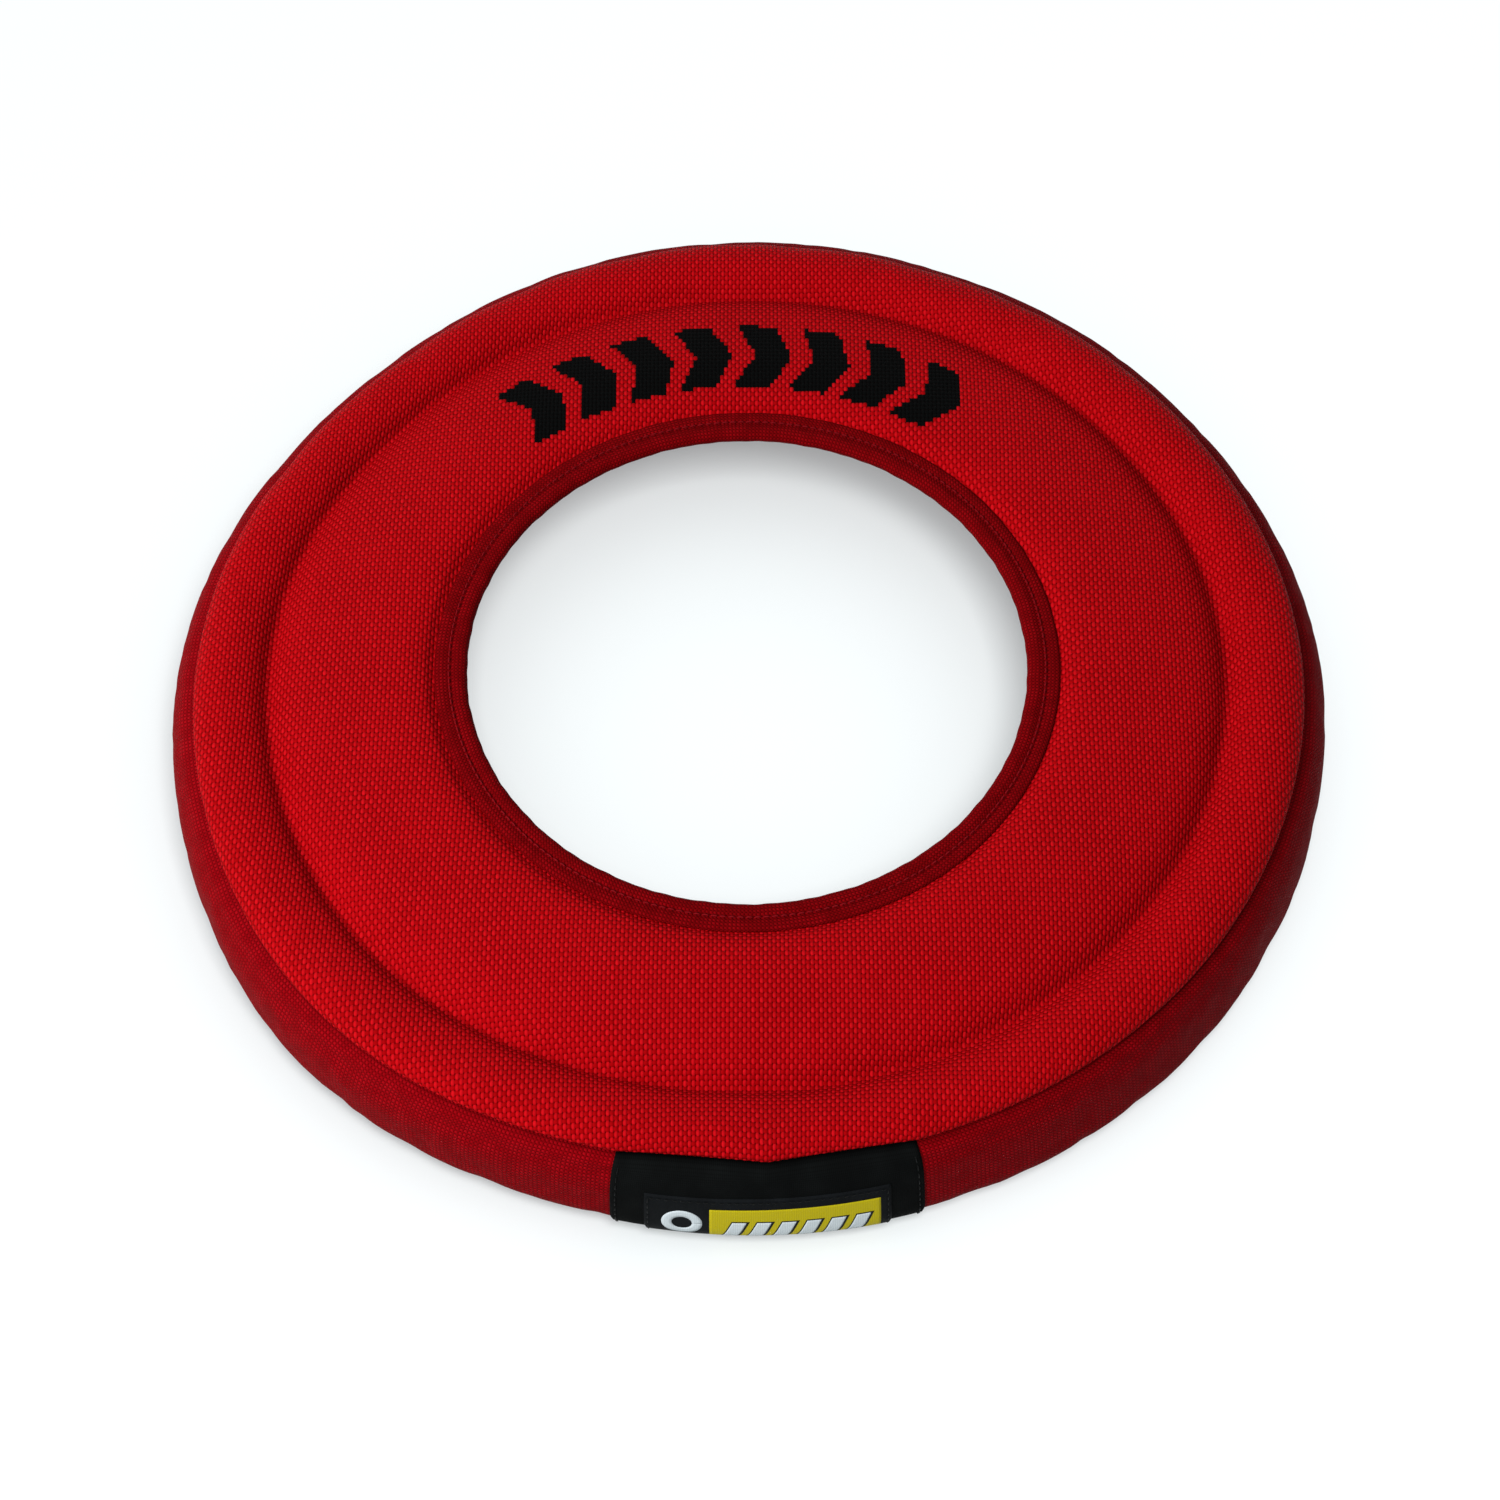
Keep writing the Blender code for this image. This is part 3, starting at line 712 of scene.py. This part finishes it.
def gusset_swelling(swell):
    """Move for the gusset: the simulated swelling, and slight puckers at both seams."""
    def move(points, angles, along):
        rng = np.random.default_rng(SEED)
        radii = gusset_profile()[0][:, 0]
        third = len(radii) // 3
        base = np.interp(SEAM, radii[:third], along[:third])
        top = np.interp(SEAM, radii[:-third - 1:-1], along[:-third - 1:-1])
        share = (top - along)[:, None] / (top - base)
        near_seam = np.exp(-(share / 0.12) ** 2) + np.exp(-((1 - share) / 0.12) ** 2)
        pucker = np.zeros_like(angles)
        for count in GUSSET_PUCKER_COUNTS:
            pucker += np.sin(count * angles + rng.uniform(0, 2 * math.pi)) / 2
        shares, turns = np.broadcast_arrays(share, angles[None, :])
        depth = skin_at(swell, shares, turns) + SEAM_PUCKERS * near_seam * pucker[None, :]
        radius = np.hypot(points[..., 0], points[..., 1])
        points[..., :2] *= (1 + depth / radius)[..., None]
        return points
    return move


# --- Stitches ---

def stitches(name, path, outward, length_share, radius, material):
    """A row of stitches: each a bent tube that enters the cloth at both ends.

    path holds one point for each end of a stitch, and outward the direction off the cloth.
    """
    rings, sides, twists = 7, 6, 6.0
    start, end = path[:-1], path[1:]
    middle, span = (start + end) / 2, (end - start) * length_share
    out = outward[:-1] + outward[1:]
    out /= np.linalg.norm(out, axis=1)[:, None]
    ahead = span / np.linalg.norm(span, axis=1)[:, None]
    side = np.cross(ahead, out)
    t = np.linspace(-0.5, 0.5, rings)
    arch = ((1 - (2 * t) ** 2) - 0.6) * STITCH_RISE
    spine = middle[:, None] + span[:, None] * t[None, :, None] + out[:, None] * arch[None, :, None]
    thick = radius * np.sqrt(1 - 0.75 * (2 * t) ** 4)
    turn = np.linspace(0, 2 * math.pi, sides, endpoint=False)
    around = (out[:, None, None] * np.cos(turn)[None, None, :, None]
              + side[:, None, None] * np.sin(turn)[None, None, :, None])
    points = spine[:, :, None] + around * thick[None, :, None, None]
    count = len(start)
    index = np.arange(count * rings * sides).reshape(count, rings, sides)
    following = np.roll(index, -1, axis=2)
    tube = np.stack([index[:, :-1], following[:, :-1], following[:, 1:], index[:, 1:]], axis=-1)
    faces = tube.reshape(-1, 4).tolist()
    faces += index[:, 0, ::-1].tolist() + index[:, -1].tolist()
    along = (t * twists)[None, :, None] + 0 * index
    round_it = turn / (2 * math.pi) + 0 * index
    cloth = np.stack([along, round_it, 0.0 * index], axis=-1)
    return make_piece(name, soft_shape(points), faces, material, cloth)


def ring_stitches(name, radius, height, outward, material):
    """Stitches right round the ring; outward is the (radial, upward) direction off the cloth."""
    count = round(2 * math.pi * radius / STITCH_PITCH)
    angles = np.linspace(0, 2 * math.pi, count + 1)
    path = turned(np.array([[radius, height]]), angles)[0]
    off = turned(np.array([outward], float), angles)[0]
    return stitches(name, path, off, RING_STITCH_SHARE, THREAD, material)


# --- Binding ---

def binding_profile():
    """Outer surface of the tape: over the edge of the hole from its top edge to its lower edge."""
    half = 1.65 * MM
    over = [
        (TAPE_EDGE + 0.5 * MM, half - 0.95 * MM),
        (TAPE_EDGE + 0.9 * MM, half - 0.8 * MM),
        (TAPE_EDGE + 0.6 * MM, half - 0.5 * MM),
        (TAPE_EDGE - 0.9 * MM, half - 0.2 * MM),
        (STITCH_ROW, half - 0.35 * MM),
        (STITCH_ROW - 1.3 * MM, half),
        (HOLE + 2.4 * MM, half + 0.1 * MM),
        (HOLE + 1.1 * MM, half - 0.15 * MM),
        (HOLE + 0.3 * MM, half - 0.8 * MM),
        (HOLE, 0.0),
    ]
    under = [(radius, -height) for radius, height in over[-2::-1]]
    return smooth_line([(radius, EDGE_Z + height) for radius, height in over + under], 56)


def binding_puckers(points, angles, along):
    """The tape is pulled down at each stitch and waves a little between them."""
    rng = np.random.default_rng(SEED + 1)
    count = round(2 * math.pi * STITCH_ROW / STITCH_PITCH)
    radius = np.hypot(points[..., 0], points[..., 1])
    near_row = np.exp(-((radius - STITCH_ROW) / (0.9 * MM)) ** 2)
    side = np.sign(points[..., 2] - EDGE_Z)
    pull = 0.5 + 0.5 * np.cos(count * angles)[None, :]
    wave = np.zeros_like(angles)
    for cycles in TAPE_WAVE_COUNTS:
        wave += np.sin(cycles * angles + rng.uniform(0, 2 * math.pi)) / 3
    wave = TAPE_WAVES * wave[None, :]
    at_edge = np.clip((radius - STITCH_ROW) / (TAPE_EDGE - STITCH_ROW), 0, 1)
    points[..., 2] += side * (at_edge * wave - TAPE_PULL * near_row * pull)
    points[..., :2] *= (1 + wave * (radius < STITCH_ROW) / radius)[..., None]
    return points


# --- Underside ---

def underside_profiles():
    """Outer surfaces of the base panel, the inner wall and the web lining."""
    base = smooth_line([
        (SEAM - 2.0 * MM, BASE_SEAM_Z - 0.6 * MM),
        (SEAM - 0.6 * MM, BASE_SEAM_Z - 0.9 * MM),
        (SEAM - 1.4 * MM, 0.5 * MM),
        (SEAM - 3.6 * MM, 0.05 * MM),
        ((SEAM + WALL) / 2, 0.0),
        (WALL + 3.8 * MM, 0.05 * MM),
        (WALL + 1.4 * MM, 0.5 * MM),
        (WALL + 0.4 * MM, BASE_SEAM_Z - 0.9 * MM),
        (WALL + 1.8 * MM, BASE_SEAM_Z - 0.6 * MM),
    ], 44)
    wall = smooth_line([
        (WALL + 1.8 * MM, BASE_SEAM_Z + 0.3 * MM),
        (WALL + 0.4 * MM, BASE_SEAM_Z + 0.7 * MM),
        (WALL - 0.3 * MM, BASE_SEAM_Z + 4.0 * MM),
        (WALL - 0.9 * MM, (BASE_SEAM_Z + LINING_SEAM_Z) / 2),
        (WALL - 0.3 * MM, LINING_SEAM_Z - 4.0 * MM),
        (WALL + 0.4 * MM, LINING_SEAM_Z - 0.9 * MM),
        (WALL + 1.8 * MM, LINING_SEAM_Z - 0.5 * MM),
    ], 36)
    lining = smooth_line([
        (WALL + 1.8 * MM, LINING_SEAM_Z + 0.3 * MM),
        (WALL + 0.2 * MM, LINING_SEAM_Z + 0.3 * MM),
        (WALL - 4.0 * MM, LINING_SEAM_Z + 0.2 * MM),
        (WALL - 14.0 * MM, LINING_SEAM_Z - 0.1 * MM),
        (HOLE + 16.0 * MM, LINING_SEAM_Z + 0.2 * MM),
        (HOLE + 10.5 * MM, LINING_SEAM_Z + 1.2 * MM),
        (TAPE_EDGE + 1.6 * MM, EDGE_Z - 1.15 * MM),
        (HOLE + 2.6 * MM, EDGE_Z - 1.0 * MM),
    ], 60)
    return base, wall, lining


def soften(node, material):
    """A hidden CAD piece, kept under the cover and moved with the soft shape of the ring."""
    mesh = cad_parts[node].data.copy()
    points = np.array([vertex.co for vertex in mesh.vertices], float)
    line = cover_profile()[0]
    line = line[:np.argmax(line[:, 0])]
    ceiling = np.interp(np.hypot(points[:, 0], points[:, 1]), line[:, 0], line[:, 1]) - FOAM_GAP
    points[:, 2] = np.minimum(points[:, 2], ceiling)
    mesh.vertices.foreach_set("co", soft_shape(points).astype(np.float32).reshape(-1))
    mesh.materials.clear()
    mesh.materials.append(material)
    mesh.update()
    item = bpy.data.objects.new(node + "_soft", mesh)
    bpy.context.scene.collection.objects.link(item)
    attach(item, BODY)
    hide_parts(node)
    return item


# --- Patch and label ---

GUSSET_LINE = gusset_profile()[0]
GUSSET_OUT = np.gradient(GUSSET_LINE, axis=0)[:, ::-1] * (1, -1)
GUSSET_OUT /= np.linalg.norm(GUSSET_OUT, axis=1)[:, None]


def on_edge(across, height, outward):
    """Points off the gusset, at distances across the patch and heights up the gusset."""
    across, height = np.broadcast_arrays(np.asarray(across, float), np.asarray(height, float))
    radius, out_r, out_z = (np.interp(height, GUSSET_LINE[:, 1], column) for column in
                            (GUSSET_LINE[:, 0], GUSSET_OUT[:, 0], GUSSET_OUT[:, 1]))
    radius = radius + outward * out_r
    angle = PATCH_MIDDLE + across / OUTER
    height = height + outward * out_z
    return np.stack([radius * np.cos(angle), radius * np.sin(angle), height], axis=-1)


def edge_sheet(name, half_width, low, high, material, inner, thickness, columns, rows, rounding):
    """A closed sheet on the gusset, with its four edges rolled down to the cloth below."""
    across = np.linspace(-half_width, half_width, columns)
    height = np.linspace(low, high, rows)
    x, z = np.meshgrid(across, height)
    side = np.minimum(half_width - np.abs(x), np.minimum(z - low, high - z))
    roll = np.sqrt(np.clip(1 - (1 - np.clip(side / rounding, 0, 1)) ** 2, 0, 1))
    rng = np.random.default_rng(SEED + 2)
    wave = sum(np.sin(x / MM * rng.uniform(0.1, 0.5) + z / MM * rng.uniform(-0.3, 0.3)
                      + rng.uniform(0, 6)) for _ in range(4)) / 4
    off = inner + thickness * (0.25 + 0.75 * roll) + 0.05 * MM * wave * roll
    flat = np.stack([x, z, 0 * x], axis=-1)
    return closed_sheet(name, on_edge(x, z, off), on_edge(x, z, inner), flat, material)


def label_shape(name, outline, outward, thickness, material):
    """A filled shape on the label, given as a grid of (across, height) points."""
    across, height = outline[..., 0], outline[..., 1]
    front = on_edge(across, height, outward + thickness)
    flat = np.stack([across, height, 0 * across], axis=-1)
    return closed_sheet(name, front, on_edge(across, height, outward), flat, material)


def rectangle(left, right, low, high, columns, rows, slant=0.0):
    """Grid of points of a rectangle whose sides lean by slant."""
    x, z = np.meshgrid(np.linspace(left, right, columns), np.linspace(low, high, rows))
    return np.stack([x + slant * (z - low), z], axis=-1)


def flat_ring(middle, height, inner, outer):
    """Grid of points of a flat ring."""
    turn, radius = np.meshgrid(np.linspace(0.0, 2 * math.pi, 49), np.linspace(inner, outer, 4))
    return np.stack([middle + radius * np.cos(turn), height + radius * np.sin(turn)], axis=-1)


# --- Assembly ---

def dress(piece, slot, *nodes):
    """Hide the CAD nodes that a piece stands for. The slot is not used."""
    if nodes:
        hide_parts(*nodes)
    return piece


def build_covers():
    """The five panels of cloth and the tape, each with where its points lie on the flat cloth."""
    coarse = coarse_cloth("coarse_red_cloth", printed=True)
    plain = coarse_cloth("plain_coarse_red_cloth", printed=False)
    gusset_red = fine_cloth("gusset_cloth", GUSSET_LIGHT, GUSSET_DARK, bias=True)
    binding_red = fine_cloth("binding_cloth", BINDING_LIGHT, BINDING_DARK, bias=True,
                             pitch=BINDING_PITCH)
    wall_red = fine_cloth("wall_cloth", WALL_LIGHT, WALL_DARK, bias=True)
    lining_red = fine_cloth("lining_cloth", LINING_LIGHT, LINING_DARK, bias=False)

    rim_swell, gusset_swell = swollen_skin()
    cover = dress(top_cover(coarse, rim_swell), "coarse_red_nylon", "top_cover")

    gusset = ring_panel("edge_gusset_cloth", gusset_profile(), 900, gusset_red,
                        gusset_swelling(gusset_swell))
    dress(gusset, "fine_red_nylon", "edge_gusset")

    binding = ring_panel("hole_binding_tape", binding_profile(), 1332, binding_red, binding_puckers)
    dress(binding, "fine_red_nylon", "hole_binding")

    base, wall, lining = underside_profiles()
    base_piece = ring_panel("base_panel_cloth", base, 720, plain)
    dress(base_piece, "coarse_red_nylon", "base_panel")
    wall_piece = ring_panel("inner_wall_cloth", wall, 720, wall_red)
    dress(wall_piece, "fine_red_nylon", "inner_wall")
    lining_piece = ring_panel("web_lining_cloth", lining, 720, lining_red)
    dress(lining_piece, "red_lining", "web_lining")


def build_foam():
    """The two foams inside the covers."""
    foam = foam_material("closed_cell_foam")
    for node in ("rim_foam", "web_foam"):
        piece = soften(node, foam)


def build_threads():
    """The six rows of stitches that run right round the ring."""
    red = thread_material("red_thread", RED_THREAD, RED_GLOSS)
    top, under = EDGE_Z + BINDING_RISE, EDGE_Z - BINDING_RISE
    rows = [
        ("binding_top_stitches", STITCH_ROW, top, (0, 1), "binding_top_thread"),
        ("binding_under_stitches", STITCH_ROW, under, (0, -1), "binding_under_thread"),
        ("top_seam_stitches", SEAM - 1.5 * MM, TOP_SEAM_Z, (1, 0), "top_seam_thread"),
        ("base_outer_stitches", SEAM - 1.5 * MM, BASE_SEAM_Z, (1, 0), "base_outer_thread"),
        ("base_inner_stitches", WALL + 1.3 * MM, BASE_SEAM_Z, (-1, 0), "base_inner_thread"),
        ("lining_stitches", WALL + 1.3 * MM, LINING_SEAM_Z, (-1, 0), "lining_thread"),
    ]
    for name, radius, height, outward, node in rows:
        dress(ring_stitches(name, radius, height, outward, red), "red_thread", node)


def build_patch_and_label():
    """The black patch over the gusset, and the label with its plain marks."""
    patch_black = black_cloth("black_patch_cloth", PATCH_BLACK, PATCH_PITCH, 0.9)
    label_black = black_cloth("black_label_cloth", LABEL_BLACK, LABEL_PITCH, 0.65)
    half_patch = OUTER * math.asin((PATCH_HIGH.x - PATCH_LOW.x) / 2 / OUTER)
    low, high = BASE_SEAM_Z + 0.2 * MM, TOP_SEAM_Z - 0.25 * MM
    patch = edge_sheet("edge_patch_cloth", half_patch, low, high, patch_black, inner=0.1 * MM,
                       thickness=0.7 * MM, columns=120, rows=44, rounding=0.6 * MM)
    dress(patch, "black_patch", "edge_patch")

    half_label = half_patch * LABEL_SHARE
    label_low = LABEL_LOW.z - 1.0 * MM
    label = edge_sheet("woven_label_cloth", half_label, label_low, LABEL_TOP, label_black,
                       inner=0.78 * MM, thickness=0.55 * MM, columns=120, rows=36,
                       rounding=0.5 * MM)
    dress(label, "black_label", "woven_label")
    build_marks()
    build_patch_stitches(half_patch, half_label, label_low)


def build_marks():
    """The label's plain marks: a yellow panel with slanted bars, and a ring beside it."""
    yellow = woven_colour("label_yellow", LABEL_YELLOW)
    white = woven_colour("label_white", LABEL_WHITE)
    outline = woven_colour("label_outline", LABEL_OUTLINE)
    panel = rectangle(*PANEL, 60, 20)
    dress(label_shape("label_panel", panel, LABEL_FACE, 0.06 * MM, yellow), "black_label")
    beside, above = BAR_BORDER
    for index in range(BAR_COUNT):
        left = PANEL[0] + BAR_START + BAR_PITCH * index
        right = left + BAR_WIDTH
        dark = rectangle(left - beside, right + beside, BAR_LOW - above, BAR_HIGH + above, 10, 10,
                         slant=BAR_LEAN)
        light = rectangle(left, right, BAR_LOW, BAR_HIGH, 10, 10, slant=BAR_LEAN)
        for name, shape, off, thickness, colour in (
                ("label_bar_edge", dark, 0.06 * MM, 0.03 * MM, outline),
                ("label_bar", light, 0.09 * MM, 0.04 * MM, white)):
            bar = label_shape(f"{name}_{index}", shape, LABEL_FACE + off, thickness, colour)
            dress(bar, "black_label")
    emblem = flat_ring(*EMBLEM_MIDDLE, EMBLEM_INNER, EMBLEM_OUTER)
    dress(label_shape("label_emblem", emblem, LABEL_FACE, 0.08 * MM, white), "black_label")


def edge_stitches(name, across, height, off, radius, material):
    """Stitches through points across and up the gusset, at a distance off it."""
    path = on_edge(across, height, off)
    outward = on_edge(across, height, off + MM) - path
    return stitches(name, path, outward, EDGE_STITCH_SHARE, radius, material)


def build_patch_stitches(half_patch, half_label, label_low):
    """Stitches up both ends of the patch and round the label."""
    black = thread_material("black_thread", BLACK_THREAD, GREY_GLOSS)
    height = np.linspace(BASE_SEAM_Z + 1.6 * MM, TOP_SEAM_Z - 1.4 * MM, 12)
    for side, end in ((-1, "left"), (1, "right")):
        across = side * (half_patch - 1.4 * MM) + 0 * height
        row = edge_stitches(f"patch_{end}_stitches", across, height, 0.95 * MM, THREAD * 0.8, black)
        dress(row, "black_thread", f"patch_{end}_thread")
    inset = 0.9 * MM
    left, right = -half_label + inset, half_label - inset
    low, high = label_low + inset, LABEL_TOP - inset
    corners = np.array([(left, low), (right, low), (right, high), (left, high), (left, low)])
    counts = (31, 8, 31, 8)
    sides = [np.linspace(start, end, count, endpoint=False)
             for start, end, count in zip(corners, corners[1:], counts)]
    loop = np.vstack(sides + [corners[-1:]])
    row = edge_stitches("label_stitches", loop[:, 0], loop[:, 1], 1.38 * MM, THREAD * 0.7, black)
    dress(row, "black_thread", "label_thread")


# --- Floor, light and camera ---

FLOOR_HALF_WIDTH = 6.0
LIGHT_AIM = Vector((0.0, 0.0, 0.02))
CAMERA_TILT = math.radians(56.5)
CAMERA_DISTANCE = 1.0
CAMERA_AIM = Vector((0.7 * MM, -15.0 * MM, 14.5 * MM))


def build_floor():
    """Wide pale floor, just under the ring."""
    shader = Shader("pale_floor")
    material = shader.finish((0.58, 0.60, 0.60), 0.9, specular=0.0)
    shader.surface.inputs["Emission Color"].default_value = (0.96, 0.99, 1.0, 1.0)
    shader.surface.inputs["Emission Strength"].default_value = 0.30
    half = FLOOR_HALF_WIDTH
    corners = [(-half, -half, 0), (half, -half, 0), (half, half, 0), (-half, half, 0)]
    mesh = bpy.data.meshes.new("floor")
    mesh.from_pydata(corners, [], [(0, 1, 2, 3)])
    mesh.materials.append(material)
    floor = bpy.data.objects.new("floor", mesh)
    floor.location.z = -0.1 * MM
    bpy.context.scene.collection.objects.link(floor)
    return floor


def area_light(name, place, size, power, colour, receivers):
    """Square soft light that faces the ring and lights only some things."""
    data = bpy.data.lights.new(name, "AREA")
    data.shape = "SQUARE"
    data.size = size
    data.energy = power
    data.color = colour
    light = bpy.data.objects.new(name, data)
    light.location = place
    light.rotation_euler = (LIGHT_AIM - Vector(place)).to_track_quat("-Z", "Y").to_euler()
    light.light_linking.receiver_collection = receivers
    bpy.context.scene.collection.objects.link(light)


def build_light(floor):
    """Even light from all round, two lamps for the ring, and one for the floor alone."""
    world = bpy.data.worlds.new("studio")
    world.use_nodes = True
    background = world.node_tree.nodes["Background"]
    background.inputs["Color"].default_value = (0.93, 0.98, 1.0, 1.0)
    background.inputs["Strength"].default_value = 0.80
    bpy.context.scene.world = world
    off_floor = bpy.data.collections.new("all_but_the_floor")
    off_floor.objects.link(floor)
    off_floor.collection_objects[0].light_linking.link_state = "EXCLUDE"
    on_floor = bpy.data.collections.new("only_the_floor")
    on_floor.objects.link(floor)
    area_light("key_front_left", (-0.80, -0.88, 1.05), 0.7, 43.0, (1.0, 0.99, 0.98), off_floor)
    area_light("fill_left", (-0.90, 0.05, 0.95), 0.8, 22.0, WHITE, off_floor)
    area_light("floor_from_the_front", (0.15, -0.75, 1.55), 0.6, 20.0, WHITE, on_floor)
    bpy.context.scene.view_settings.view_transform = "Standard"
    bpy.context.scene.view_settings.look = "None"


def build_camera():
    """Long lens, looking down on the ring from its patch side."""
    data = bpy.data.cameras.new("camera")
    data.sensor_width = 36.0
    data.lens = 98.9
    camera = bpy.data.objects.new("camera", data)
    back = Vector((0.0, -math.cos(CAMERA_TILT), math.sin(CAMERA_TILT)))
    camera.location = CAMERA_AIM + CAMERA_DISTANCE * back
    camera.rotation_euler = (math.pi / 2 - CAMERA_TILT, 0.0, 0.0)
    bpy.context.scene.collection.objects.link(camera)
    bpy.context.scene.camera = camera


build_camera()
build_covers()
build_foam()
build_threads()
build_patch_and_label()
build_light(build_floor())
